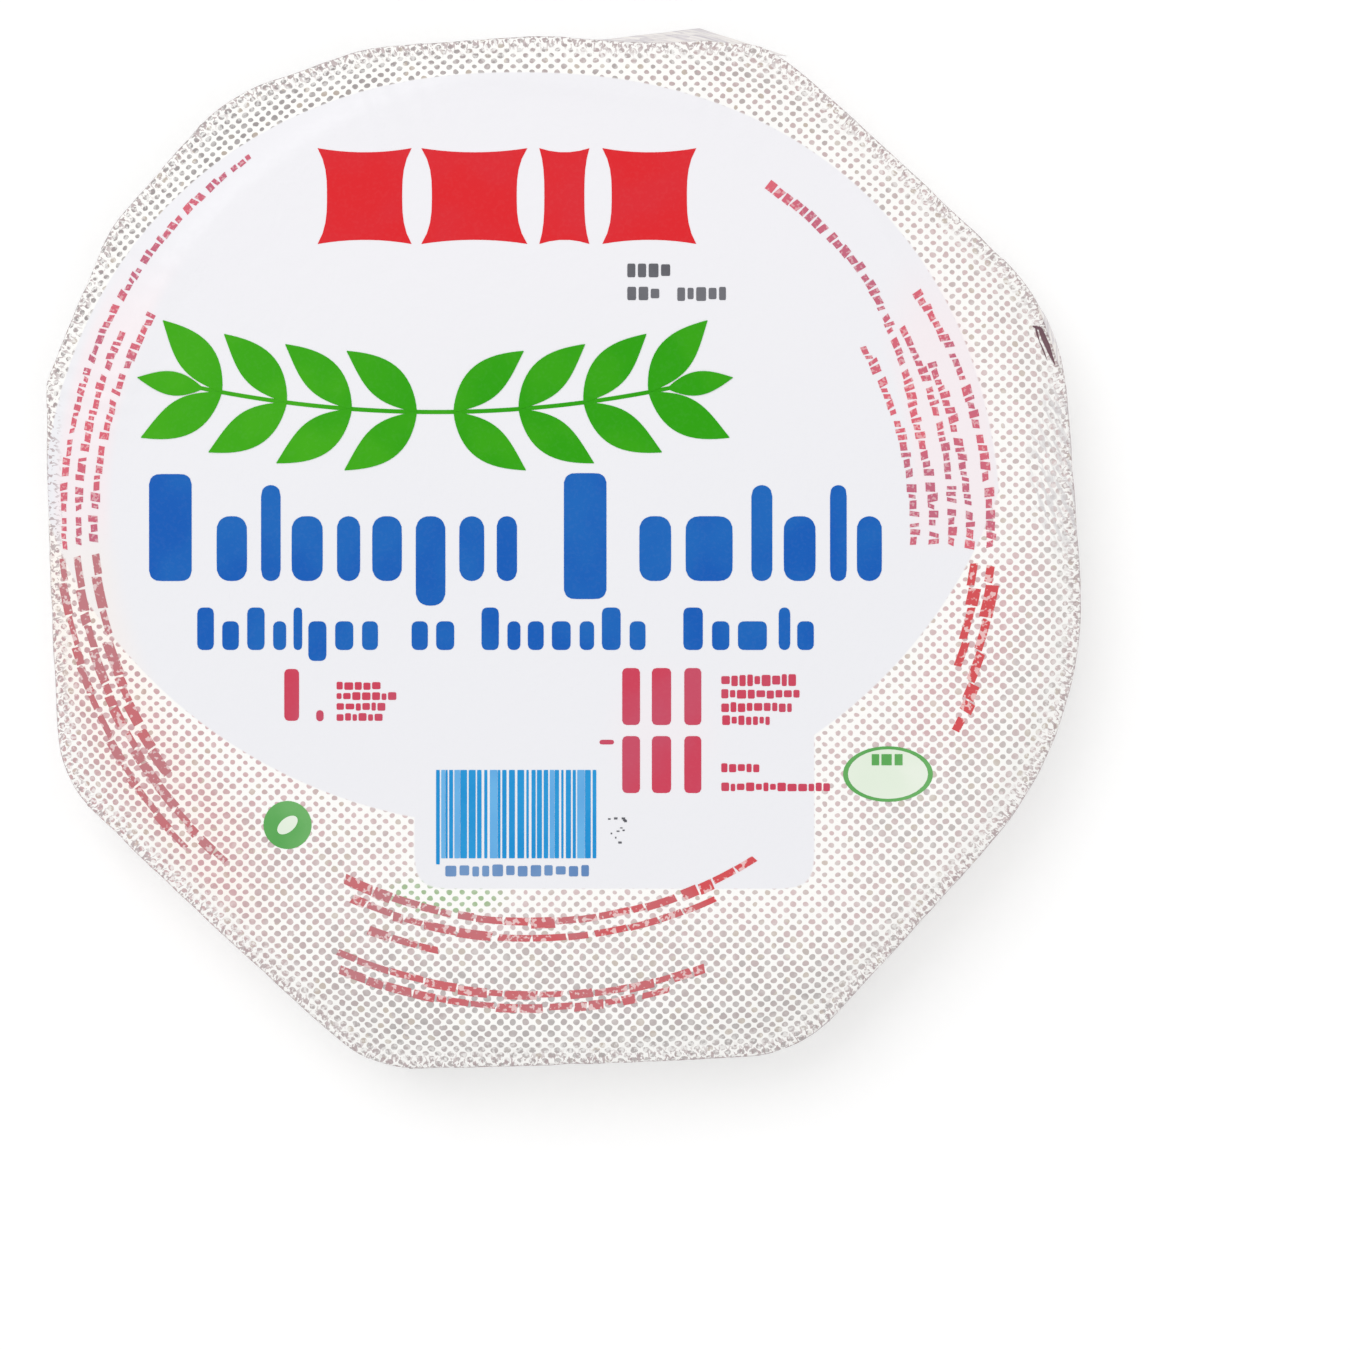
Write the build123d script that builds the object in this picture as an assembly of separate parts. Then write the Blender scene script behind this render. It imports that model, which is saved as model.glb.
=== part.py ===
from build123d import *
import os
from collections import namedtuple
from math import asin, cos, degrees, hypot, radians, sin, tan

# A whole brie in its closed printed wrap. It lies on its base with the label up.
# The wrap is drawn round the cheese in straight facets with soft corners between them, slopes
# down to those corners above and below, and is folded under the base like a pinwheel.
# The origin is on the ground under the middle of the pack. Lengths are in mm, angles in degrees.

# The cheese
cheese_diameter = 220.0
cheese_height = 28.0

# The wrap over and under it, with the air that it holds
film_over_top = 1.0
film_under_base = 1.0

# The facets of the side: which way each one faces, how far it stands off the cheese, and the
# radius of the corner after it. The wrap is loose over three small facets, and snug elsewhere.
Facet = namedtuple("Facet", "direction slack corner_radius")
facets = [
    Facet(4, 1.4, 44),
    Facet(47, 1.5, 26),
    Facet(93, 1.9, 30),
    Facet(108, 7.6, 36),
    Facet(139, 11.4, 28),
    Facet(158, 8.7, 10),
    Facet(182, 1.8, 24),
    Facet(227, 1.6, 25),
    Facet(272, 1.6, 28),
    Facet(318, 1.4, 80),
]

# Each shoulder: how far inside the cheese's side it starts, its bend, and its slope to the corners
Shoulder = namedtuple("Shoulder", "inset bend_radius slope")
top_shoulder = Shoulder(7.0, 14.0, 24.0)
base_shoulder = Shoulder(6.0, 5.0, 38.0)

# The bend of the film where the side meets a shoulder
fold_radius = 2.0

# The spare film at a corner lies against the next facet as a thin triangle
pleat_thickness = 0.8
pleat_root = 2.0  # how far the triangle reaches into the side and round the corner

# The folds under the base, one over the next
fold_count = 8
first_fold = 24.5
fold_step = 0.7
fold_width = 27.0
fold_eye_radius = 30.0  # how far each fold's edge passes from the middle
fold_start = 12.0  # where its edge starts, past its nearest point to the middle

# How far a cutting shape reaches past the pack
clear_of_pack = 10.0

# Worked out from the sizes above
cheese_radius = cheese_diameter / 2
pack_height = film_under_base + cheese_height + film_over_top
neighbours = list(zip(facets, facets[1:] + facets[:1]))


def polar(radius, direction):
    return Vector(radius * cos(radians(direction)), radius * sin(radians(direction)))


def turn_between(facet, following):
    return (following.direction - facet.direction) % 360


def corner_between(facet, following):
    """Where the lines of two facets meet."""
    reach, next_reach = cheese_radius + facet.slack, cheese_radius + following.slack
    turn = radians(turn_between(facet, following))
    along = (next_reach - reach * cos(turn)) / sin(turn)
    return polar(reach, facet.direction) + polar(along, facet.direction + 90)


def outline():
    """The pack from above: straight facets with a round corner after each."""
    points = [corner_between(*pair) for pair in neighbours]
    face = make_face(Polyline(*points, close=True))
    for facet, point in zip(facets, points):
        corner = min(face.vertices(), key=lambda v: (Vector(*v) - point).length)
        face = fillet(corner, facet.corner_radius)
    return face


def shoulder_points(shoulder, level, up, widest):
    """The ends of a shoulder's bend with the bend's middle between them, then its outer end."""
    flat_end = cheese_radius - shoulder.inset

    def on_bend(angle):
        fall = shoulder.bend_radius * (1 - cos(radians(angle)))
        return flat_end + shoulder.bend_radius * sin(radians(angle)), level - up * fall

    bend_x, bend_level = on_bend(shoulder.slope)
    outer_level = bend_level - up * (widest - bend_x) * tan(radians(shoulder.slope))
    return [on_bend(0), on_bend(shoulder.slope / 2), (bend_x, bend_level), (widest, outer_level)]


def turned_envelope():
    """The turned shape that slopes the film down to the corners, above and below."""
    widest = max(corner_between(*pair).length for pair in neighbours) + clear_of_pack
    base = shoulder_points(base_shoulder, 0, -1, widest)
    top = shoulder_points(top_shoulder, pack_height, 1, widest)
    profile = Curve() + [
        Line((0, 0), base[0]),
        ThreePointArc(*base[:3]),
        Line(base[2], base[3]),
        Line(base[3], top[3]),
        Line(top[3], top[2]),
        ThreePointArc(*reversed(top[:3])),
        Line(top[0], (0, pack_height)),
        Line((0, pack_height), (0, 0)),
    ]
    return revolve(Plane.XZ * make_face(profile), Axis.Z)


def side_folds(solid):
    """The edges that run right round the side, where it meets each shoulder."""
    return [
        edge
        for edge in solid.edges()
        if hypot(edge.position_at(0.5).X, edge.position_at(0.5).Y) > cheese_radius
        and abs(edge.tangent_at(0.5).Z) < 0.9
    ]


def pleat(facet, following):
    """A thin triangle of folded film, which starts where a corner runs into its next facet.

    Film that turns by an angle has that angle times the height to spare, folded in two.
    """
    turn = radians(turn_between(facet, following))
    width = cheese_height * turn / 2
    corner_end = facet.corner_radius * tan(turn / 2)
    # x runs along the facet, y runs up it, and z points out of it
    side = Plane(
        corner_between(facet, following),
        x_dir=polar(1, following.direction + 90),
        z_dir=polar(1, following.direction),
    )
    triangle = make_face(
        Polyline(
            (corner_end, pack_height),
            (corner_end - pleat_root, 0),
            (corner_end + width, 0),
            close=True,
        )
    )
    return extrude(side.offset(-pleat_root) * triangle, pleat_root + pleat_thickness)


def base_fold(index):
    """A shallow wedge out of the base, so that one fold ends over the next in a step."""
    aside = degrees(asin(fold_eye_radius / cheese_radius))
    direction = first_fold + index * 360 / fold_count - aside
    section = make_face(
        Polyline(
            (0, -clear_of_pack),
            (0, fold_step),
            (fold_width, 0),
            (fold_width, -clear_of_pack),
            close=True,
        )
    )
    wedge = extrude(Plane.YZ * section, cheese_diameter)
    return Rot(0, 0, direction) * Pos(fold_start, fold_eye_radius, 0) * wedge


def wrapped_wheel():
    envelope = turned_envelope()
    pack = extrude(outline(), pack_height) & envelope
    pack = fillet(side_folds(pack), fold_radius)
    pack += [pleat(*pair) & envelope for pair in neighbours]
    pack -= [base_fold(index) for index in range(fold_count)]
    middle = pack.bounding_box().center()
    return Pos(-middle.X, -middle.Y, 0) * pack


os.makedirs("parts", exist_ok=True)
export_step(wrapped_wheel(), "parts/wrapped_wheel.step")
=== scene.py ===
import bmesh
import bpy
import random
from math import asin, atan2, ceil, cos, exp, hypot, pi, radians, sin, sqrt, tan
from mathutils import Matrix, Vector, noise


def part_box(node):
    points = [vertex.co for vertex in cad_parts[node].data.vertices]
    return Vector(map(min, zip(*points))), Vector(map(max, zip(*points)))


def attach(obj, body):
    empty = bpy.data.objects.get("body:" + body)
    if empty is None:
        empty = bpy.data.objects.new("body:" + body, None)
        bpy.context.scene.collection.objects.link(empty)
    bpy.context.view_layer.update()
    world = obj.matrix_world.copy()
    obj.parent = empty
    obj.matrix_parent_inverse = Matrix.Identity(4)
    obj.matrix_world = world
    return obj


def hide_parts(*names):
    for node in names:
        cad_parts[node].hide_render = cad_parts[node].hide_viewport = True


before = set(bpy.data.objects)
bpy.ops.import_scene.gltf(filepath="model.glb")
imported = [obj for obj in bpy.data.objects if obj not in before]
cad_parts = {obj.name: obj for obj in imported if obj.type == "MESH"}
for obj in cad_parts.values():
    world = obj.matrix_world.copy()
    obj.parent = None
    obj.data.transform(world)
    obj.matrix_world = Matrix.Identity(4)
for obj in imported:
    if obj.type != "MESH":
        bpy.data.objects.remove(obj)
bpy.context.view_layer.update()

# A brie wheel shut in its printed wrap. It lies on its folded base with the label up.
# Shapes are worked out in millimetres from the middle of the cheese, and finishPiece turns them into metres.
# Places on the face are seen from above: x to the right and y towards the top of the label.

low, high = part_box("wrapped_wheel")
mm = 0.001
sharpAngle = radians(40)  # a printed mark's edges are sharp where they turn by more

wrap = {
    "cheeseRadius": 110.0,
    # each facet of the side: the way it faces, how far it stands off the cheese, the corner radius after it
    "facets": [(4, 1.4, 44), (47, 1.5, 26), (93, 1.9, 30), (108, 7.6, 36), (139, 11.4, 28),
               (158, 8.7, 10), (182, 1.8, 24), (227, 1.6, 25), (272, 1.6, 28), (318, 1.4, 80)],
    "topInset": 7.0,
    "topBend": 14.0,
    "topSlope": radians(24),
    "baseInset": 6.0,
    "baseBend": 5.0,
    "baseSlope": radians(38),
    "foldRadius": 2.0,
    "faceDip": 0.55,      # how far the flat face lies under the highest crinkle
    "discRadius": 100.0,  # the face is a grid out to here and rings from here on
    "discCells": 150,
    "rows": (3, 6, 5, 7, 14, 5, 7, 4, 1),  # rows of faces in each run of the section
    "baseLift": 0.12,     # room for the folds under the base
    "hemRadius": 102.5,   # where the film ends under the base, behind the folds
    "hemRise": 1.1,
}
faceLevel = (high[2] - low[2]) / mm - wrap["faceDip"]


# The outline and the section
def polar(distance, angle):
    return Vector((cos(angle), sin(angle))) * distance


def turnBetween(start, end):
    return (end - start) % (2 * pi)


def smoothStep(start, end, value):
    share = min(max((value - start) / (end - start), 0), 1)
    return share * share * (3 - 2 * share)


def roundCorner(facet, following):
    # the rounded corner between two facets, as an arc with a centre and two ends
    turn = radians((following[0] - facet[0]) % 360)
    reach = wrap["cheeseRadius"] + facet[1]
    nextReach = wrap["cheeseRadius"] + following[1]
    along = (nextReach - reach * cos(turn)) / sin(turn)
    tip = polar(reach, radians(facet[0])) + polar(along, radians(facet[0]) + pi / 2)
    centre = tip - polar(facet[2] / cos(turn / 2), radians(facet[0]) + turn / 2)
    ends = [centre + polar(facet[2], radians(each[0])) for each in (facet, following)]
    return {
        "tip": tip,
        "angle": atan2(tip.y, tip.x),
        "turn": turn,
        "centre": centre,
        "radius": facet[2],
        "start": atan2(ends[0].y, ends[0].x),
        "end": atan2(ends[1].y, ends[1].x),
    }


facets = wrap["facets"]
corners = [roundCorner(*pair) for pair in zip(facets, facets[1:] + facets[:1])]


def facetAt(angle):
    # which facet lies this way: each one runs from the corner before it to its own corner
    for index, corner in enumerate(corners):
        start = corners[index - 1]["angle"]
        if turnBetween(start, angle) < turnBetween(start, corner["angle"]):
            return index


def rimAt(angle):
    # how far the outline lies from the middle
    for corner in corners:
        if turnBetween(corner["start"], angle) < turnBetween(corner["start"], corner["end"]):
            along = corner["centre"].dot(polar(1, angle))
            aside = corner["centre"].length_squared - along * along
            return along + sqrt(corner["radius"] ** 2 - aside)
    facing, slack, _ = facets[facetAt(angle)]
    return (wrap["cheeseRadius"] + slack) / cos(angle - radians(facing))


# how far the printed face draws back where loose film shows behind it, each from one angle to another
setbacks = ((0.9, radians(62), radians(68)), (1.8, radians(68), radians(73)),
            (-2.7, radians(80), radians(94)))


def frontAt(angle):
    # the rim of the printed face
    return rimAt(angle) - sum(depth * smoothStep(*span, angle % (2 * pi)) for depth, *span in setbacks)


def sectionRuns(rim):
    # the film from the face over the rim and under the base, as runs of (length, turn)
    fold, topSlope, baseSlope = wrap["foldRadius"], wrap["topSlope"], wrap["baseSlope"]
    topFlat = wrap["cheeseRadius"] - wrap["topInset"]
    baseFlat = wrap["cheeseRadius"] - wrap["baseInset"]

    def shoulder(flat, bend, slope):
        bendEnd = flat + bend * sin(slope)
        reach = rim - fold * (1 - sin(slope)) - bendEnd
        return reach / cos(slope), bend * (1 - cos(slope)) + reach * tan(slope) + fold * cos(slope)

    topRun, topDrop = shoulder(topFlat, wrap["topBend"], topSlope)
    baseRun, baseRise = shoulder(baseFlat, wrap["baseBend"], baseSlope)
    return [
        (topFlat - wrap["discRadius"], 0),
        (wrap["topBend"] * topSlope, topSlope),
        (topRun, 0),
        (fold * (pi / 2 - topSlope), pi / 2 - topSlope),
        (faceLevel - topDrop - baseRise - wrap["baseLift"], 0),
        (fold * (pi / 2 - baseSlope), pi / 2 - baseSlope),
        (baseRun, 0),
        (wrap["baseBend"] * baseSlope, baseSlope),
        (baseFlat - wrap["hemRadius"], 0),
    ]


wallRun = 4  # the run that is the upright side


def alongSection(runs, index, share):
    # the distance out, the level, the lean and the film used, at a share of one run
    out, level, lean, used = wrap["discRadius"], faceLevel, 0.0, 0.0
    for number, (length, turn) in enumerate(runs[:index + 1]):
        part = share if number == index else 1
        angle = turn * part
        chord = 2 * length / turn * sin(angle / 2) if turn else length * part
        out += chord * cos(lean + angle / 2)
        level -= chord * sin(lean + angle / 2)
        lean += angle
        used += length * part
    return out, level, lean, used


# The relief of the film
film = {
    "swell": 0.16,         # long low waves over the whole face
    "swellLength": 42.0,
    "crease": 0.36,        # tight ridges that fan in from each corner
    "creaseLength": 5.2,
    "creaseWidth": 9.0,
    "creaseReach": 15.0,
    "sideCrease": 0.30,
    "sideCreaseLength": 7.0,
    "mostBulge": 0.05,     # how far a ripple of the side may stand out
    "underLean": 2,        # from this lean on the film is under the base, with a smaller ripple
    "underShare": 0.4,
    # long soft wrinkles: from, to, height, half width
    "wrinkles": [((60, 86), (77, 52), 0.35, 2.4), ((-84, 62), (-101, 20), 0.22, 3.0),
                 ((-70, -72), (-104, -40), 0.20, 2.2), ((30, 96), (-24, 104), 0.16, 2.0),
                 ((92, -30), (70, -78), 0.22, 2.6), ((8, -92), (48, -88), 0.20, 2.4)],
}


def wrinkleAt(place, start, end, height, width):
    start, end = Vector(start), Vector(end)
    share, along = place - start, end - start
    part = min(max(share.dot(along) / along.length_squared, 0), 1)
    away = (share - along * part).length
    return height * exp(-(away / width) ** 2) * sin(pi * min(max(part, 0.05), 0.95)) ** 0.5


def reliefAt(x, y):
    # how far the film rises over its plain section, in mm
    place = Vector((x, y))
    rise = film["swell"] * noise.noise(Vector((x, y, 3.0)) / film["swellLength"])
    for start, end, height, width in film["wrinkles"]:
        rise += wrinkleAt(place, start, end, height, width)
    if place.length > 88:
        for corner in corners:
            inward = corner["tip"].length - place.dot(corner["tip"]) / corner["tip"].length
            aside = place.cross(corner["tip"]) / corner["tip"].length
            if abs(aside) < 3 * film["creaseWidth"] and inward < 3 * film["creaseReach"]:
                bend = noise.noise(Vector((x / 9, y / 9, 8.0)))
                wave = cos(2 * pi * aside / film["creaseLength"] + 2.2 * bend)
                near = exp(-(aside / film["creaseWidth"]) ** 2 - (inward / film["creaseReach"]) ** 2)
                rise += film["crease"] * wave * near * smoothStep(90, 100, place.length)
    return rise


def sideReliefAt(angle, level):
    # upright ripples in the film of the side
    around = angle * wrap["cheeseRadius"] / film["sideCreaseLength"]
    return film["sideCrease"] * noise.noise(Vector((around, level / 30, 1.0)))


def levelAt(x, y):
    # the level of the film's upper side at a place seen from above
    angle, distance = atan2(y, x), hypot(x, y)
    level = faceLevel
    flat, bend, slope = wrap["cheeseRadius"] - wrap["topInset"], wrap["topBend"], wrap["topSlope"]
    bendEnd = flat + bend * sin(slope)
    if distance > flat:
        inBend = min(distance, bendEnd) - flat
        level -= bend - sqrt(bend * bend - inBend * inBend)
        level -= max(distance - bendEnd, 0) * tan(slope)
    fold = wrap["foldRadius"]
    foldStart = frontAt(angle) - fold * (1 - sin(slope)) if distance > flat else distance
    if distance > foldStart:
        inFold = min(distance - frontAt(angle) + fold, fold)
        level += max(distance - max(bendEnd, foldStart), 0) * tan(slope)
        level -= fold * cos(slope) - sqrt(max(fold * fold - inFold * inFold, 0))
    return level + reliefAt(x, y)


# Shared mesh steps
outlinePoints = [polar(rimAt(radians(step)), radians(step)) for step in range(360)]
outlineMiddle = Vector([(max(each) + min(each)) / 2 for each in zip(*outlinePoints)])
boxMiddle = Vector(((low[0] + high[0]) / 2, (low[1] + high[1]) / 2)) / mm
cheeseMiddle = boxMiddle - outlineMiddle


def toDisc(s, t):
    # a square's place, -1 to 1, as a disc's
    return s * sqrt(1 - t * t / 2), t * sqrt(1 - s * s / 2)


def finishPiece(name, bm, material, sharp=False):
    bmesh.ops.recalc_face_normals(bm, faces=bm.faces)
    bmesh.ops.translate(bm, verts=bm.verts, vec=(*cheeseMiddle, low[2] / mm))
    bmesh.ops.scale(bm, verts=bm.verts, vec=(mm, mm, mm))
    mesh = bpy.data.meshes.new(name)
    bm.to_mesh(mesh)
    bm.free()
    mesh.shade_smooth()
    if sharp:
        mesh.set_sharp_from_angle(angle=sharpAngle)
    mesh.materials.append(material)
    piece = bpy.data.objects.new(name, mesh)
    bpy.context.scene.collection.objects.link(piece)
    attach(piece, "root")
    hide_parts("wrapped_wheel")
    print(name, len(mesh.vertices), "vertices")
    return piece


def addGrid(bm, columns, rows):
    # a square of cells, from -1 to 1 each way; gives its vertices
    return bmesh.ops.create_grid(bm, x_segments=columns, y_segments=rows, size=1)["verts"]


def writeSheet(bm, placeOf):
    # each corner of a face keeps its place on the flat film, in mm, for the material to read
    sheet = bm.loops.layers.float_vector.new("sheet")
    for face in bm.faces:
        for loop in face.loops:
            loop[sheet] = placeOf(loop.vert.co)


def outwards(angle, lean):
    # the way that the film faces
    return Vector((sin(lean) * cos(angle), sin(lean) * sin(angle), cos(lean)))


def ringOut(bm, ring, places):
    # one more ring of faces outside an open loop, with its new vertices put in their places
    edges = [bm.edges.get(pair) for pair in zip(ring, ring[1:] + ring[:1])]
    made = bmesh.ops.extrude_edge_only(bm, edges=edges)["geom"]
    fresh = {each for each in made if isinstance(each, bmesh.types.BMVert)}
    grown = [next(edge.other_vert(vert) for edge in vert.link_edges if edge.other_vert(vert) in fresh)
             for vert in ring]
    for vert, place in zip(grown, places):
        vert.co = place
    return grown


def thicken(bm, shifts):
    # backs an open patch with a copy a little way off, and closes its edges; shifts gives each vertex's way
    number = bm.verts.layers.int.new("number")
    ways = []
    for vert in bm.verts:
        vert[number] = len(ways)
        ways.append(Vector(shifts(vert)))
    made = bmesh.ops.extrude_face_region(bm, geom=bm.faces[:])["geom"]
    for each in made:
        if isinstance(each, bmesh.types.BMVert):
            each.co += ways[each[number]]
    bm.verts.layers.int.remove(number)


def placeOn(runs, used):
    # the distance out, the level and the lean after this much film from the disc's edge
    for index, (length, _) in enumerate(runs):
        if used <= length or index == len(runs) - 1:
            return alongSection(runs, index, min(used / length, 1))[:3]
        used -= length


# Shader steps
def shade(red, green, blue):
    # a printed colour, 0 to 255, as the shader wants it
    def linear(value):
        value /= 255
        return value / 12.92 if value <= 0.04045 else ((value + 0.055) / 1.055) ** 2.4
    return (linear(red), linear(green), linear(blue), 1.0)


def addNode(tree, kind, **settings):
    node = tree.nodes.new(kind)
    for name, value in settings.items():
        setattr(node, name, value)
    return node


def feed(tree, socket, value):
    if isinstance(value, bpy.types.NodeSocket):
        tree.links.new(value, socket)
    elif value is not None:
        socket.default_value = value


def calc(tree, operation, *values):
    node = addNode(tree, "ShaderNodeMath", operation=operation)
    for socket, value in zip(node.inputs, values):
        feed(tree, socket, value)
    return node.outputs[0]


def product(tree, first, *others):
    for other in others:
        first = calc(tree, "MULTIPLY", first, other)
    return first


def calcVector(tree, operation, *values, output=0):
    node = addNode(tree, "ShaderNodeVectorMath", operation=operation)
    for socket, value in zip(node.inputs, values):
        feed(tree, socket, value)
    return node.outputs[output]


def mixColour(tree, share, first, second):
    node = addNode(tree, "ShaderNodeMix", data_type="RGBA")
    feed(tree, node.inputs["Factor"], share)
    feed(tree, node.inputs[6], first)
    feed(tree, node.inputs[7], second)
    return node.outputs[2]


def mixNumber(tree, share, first, second):
    node = addNode(tree, "ShaderNodeMix", data_type="FLOAT")
    feed(tree, node.inputs["Factor"], share)
    feed(tree, node.inputs[2], first)
    feed(tree, node.inputs[3], second)
    return node.outputs[0]


def fade(tree, value, start, end, low=0.0, high=1.0):
    # a smooth step from low to high as the value goes from start to end
    node = addNode(tree, "ShaderNodeMapRange", interpolation_type="SMOOTHSTEP")
    for socket, number in zip(node.inputs, (value, start, end, low, high)):
        feed(tree, socket, number)
    return node.outputs[0]


def within(tree, value, start, full, less, end):
    # comes in from start to full, and goes out again from less to end
    return product(tree, fade(tree, value, start, full), fade(tree, value, end, less))


def splitVector(tree, vector):
    parts = addNode(tree, "ShaderNodeSeparateXYZ")
    tree.links.new(vector, parts.inputs[0])
    return parts.outputs


def readSheet(tree):
    # a piece's own place on the flat film, in mm; z is how far past the rim it lies
    return addNode(tree, "ShaderNodeAttribute", attribute_name="sheet").outputs["Vector"]


def seenDirectly(tree):
    # where the camera, a reflection or clear film looks at the background
    paths = addNode(tree, "ShaderNodeLightPath")
    seen = calc(tree, "MAXIMUM", paths.outputs["Is Camera Ray"], paths.outputs["Is Glossy Ray"])
    return calc(tree, "MAXIMUM", seen, paths.outputs["Is Transmission Ray"])


def grain(tree, place, scale, detail=2.0, colour=False, distortion=0.0):
    node = addNode(tree, "ShaderNodeTexNoise")
    feed(tree, node.inputs["Vector"], place)
    feed(tree, node.inputs["Scale"], scale)
    node.inputs["Detail"].default_value = detail
    node.inputs["Distortion"].default_value = distortion
    return node.outputs["Color" if colour else "Fac"]


def newGroup(name, inputs, outputs):
    group = bpy.data.node_groups.new(name, "ShaderNodeTree")
    for label, kind, value in inputs:
        socket = group.interface.new_socket(name=label, in_out="INPUT", socket_type=kind)
        if value is not None:
            socket.default_value = value
    for label, kind in outputs:
        group.interface.new_socket(name=label, in_out="OUTPUT", socket_type=kind)
    return group, group.nodes.new("NodeGroupInput"), group.nodes.new("NodeGroupOutput")


def useGroup(tree, group, **values):
    node = addNode(tree, "ShaderNodeGroup", node_tree=group)
    for label, value in values.items():
        feed(tree, node.inputs[label], value)
    return node


def newMaterial(name):
    material = bpy.data.materials.new(name)
    material.use_nodes = True
    tree = material.node_tree
    tree.nodes.clear()
    shader = addNode(tree, "ShaderNodeBsdfPrincipled")
    output = addNode(tree, "ShaderNodeOutputMaterial")
    tree.links.new(shader.outputs[0], output.inputs["Surface"])
    return material, tree, shader


def placeInMm(tree):
    # Object coordinates counted in mm
    coordinates = addNode(tree, "ShaderNodeTexCoord")
    return calcVector(tree, "MULTIPLY", coordinates.outputs["Object"], (1 / mm, 1 / mm, 1 / mm))


def finishSurface(tree, shader, colour, roughness, height, depth):
    # joins the changing parts to the shader; height is in mm times the depth
    bump = addNode(tree, "ShaderNodeBump")
    bump.inputs["Distance"].default_value = mm * depth
    feed(tree, bump.inputs["Height"], height)
    feed(tree, shader.inputs["Base Color"], colour)
    feed(tree, shader.inputs["Roughness"], roughness)
    tree.links.new(bump.outputs[0], shader.inputs["Normal"])


# Shader groups
def makeFilmCrinkle():
    # the fine crumple of thin wrapping film, as a height in mm and a roughness
    group, inside, outside = newGroup(
        "filmCrinkle",
        [("Position", "NodeSocketVector", None), ("Roughness", "NodeSocketFloat", 0.4)],
        [("Height", "NodeSocketFloat"), ("Roughness", "NodeSocketFloat")])
    place = inside.outputs["Position"]
    broad = grain(group, place, 0.10, 3.0, distortion=0.8)
    fine = grain(group, place, 0.55, 3.0, distortion=0.4)
    fibre = grain(group, place, 3.0, 2.0)
    height = calc(group, "MULTIPLY_ADD", broad, 0.30, calc(group, "MULTIPLY", fine, 0.07))
    height = calc(group, "MULTIPLY_ADD", fibre, 0.012, height)
    group.links.new(height, outside.inputs["Height"])
    spread = fade(group, fine, 0.3, 0.7, -0.06, 0.06)
    roughness = calc(group, "ADD", inside.outputs["Roughness"], spread)
    group.links.new(roughness, outside.inputs["Roughness"])
    return group


def makeInkLaydown():
    # printing ink on film: two tones that drift into each other, with a little unevenness
    group, inside, outside = newGroup(
        "inkLaydown",
        [("Position", "NodeSocketVector", None), ("Tone", "NodeSocketColor", None),
         ("Second Tone", "NodeSocketColor", None), ("Drift", "NodeSocketFloat", 0.5),
         ("Wear", "NodeSocketFloat", 0.0), ("Fleck Scale", "NodeSocketFloat", 1.4)],
        [("Color", "NodeSocketColor"), ("Roughness", "NodeSocketFloat"), ("Height", "NodeSocketFloat")])
    place = inside.outputs["Position"]
    cloud = fade(group, grain(group, place, 0.06, 2.0), 0.35, 0.65, -0.5, 0.5)
    cloud = calc(group, "MULTIPLY_ADD", cloud, 0.6, inside.outputs["Drift"])
    colour = mixColour(group, cloud, inside.outputs["Tone"], inside.outputs["Second Tone"])
    mottle = grain(group, place, 1.4, 3.0)
    flecks = fade(group, grain(group, place, inside.outputs["Fleck Scale"], 3.0), 0.53, 0.60)
    flecks = calc(group, "MULTIPLY", flecks, inside.outputs["Wear"])
    colour = mixColour(group, flecks, colour, (1, 0.97, 0.94, 1))
    group.links.new(colour, outside.inputs["Color"])
    group.links.new(fade(group, mottle, 0.3, 0.7, 0.30, 0.42), outside.inputs["Roughness"])
    group.links.new(calc(group, "MULTIPLY", mottle, 0.02), outside.inputs["Height"])
    return group


dots = {
    "pitch": (2.75, 2.55, 1.0),
    "flatness": 1.12,    # a dot is this much wider than high
    "wobble": 0.30,
    "sizeSpread": 0.24,
    "edge": 0.16,
    "radius": (0.50, 0.65),   # beside the label and away from it
    "growth": 15,             # the distance from the label over which they grow
    "deepExtra": 0.06,        # how much bigger the deep ones are
    "deepShare": 0.95,
    "pinkLeft": 0.8,          # how pink they turn among the strokes at the lower left
    "pinkRight": 0.55,
    "rimLoss": 0.75,          # how far they are gone in patches by the rim
}
rimMarks = {
    "around": 150.0,   # these two draw the marks out across the rim
    "along": 0.6,
    "scale": 1.15,
    "edge": (0.55, 0.585),
    "width": (-6, -2, 0, 3),
    "share": 0.8,
}


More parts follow.
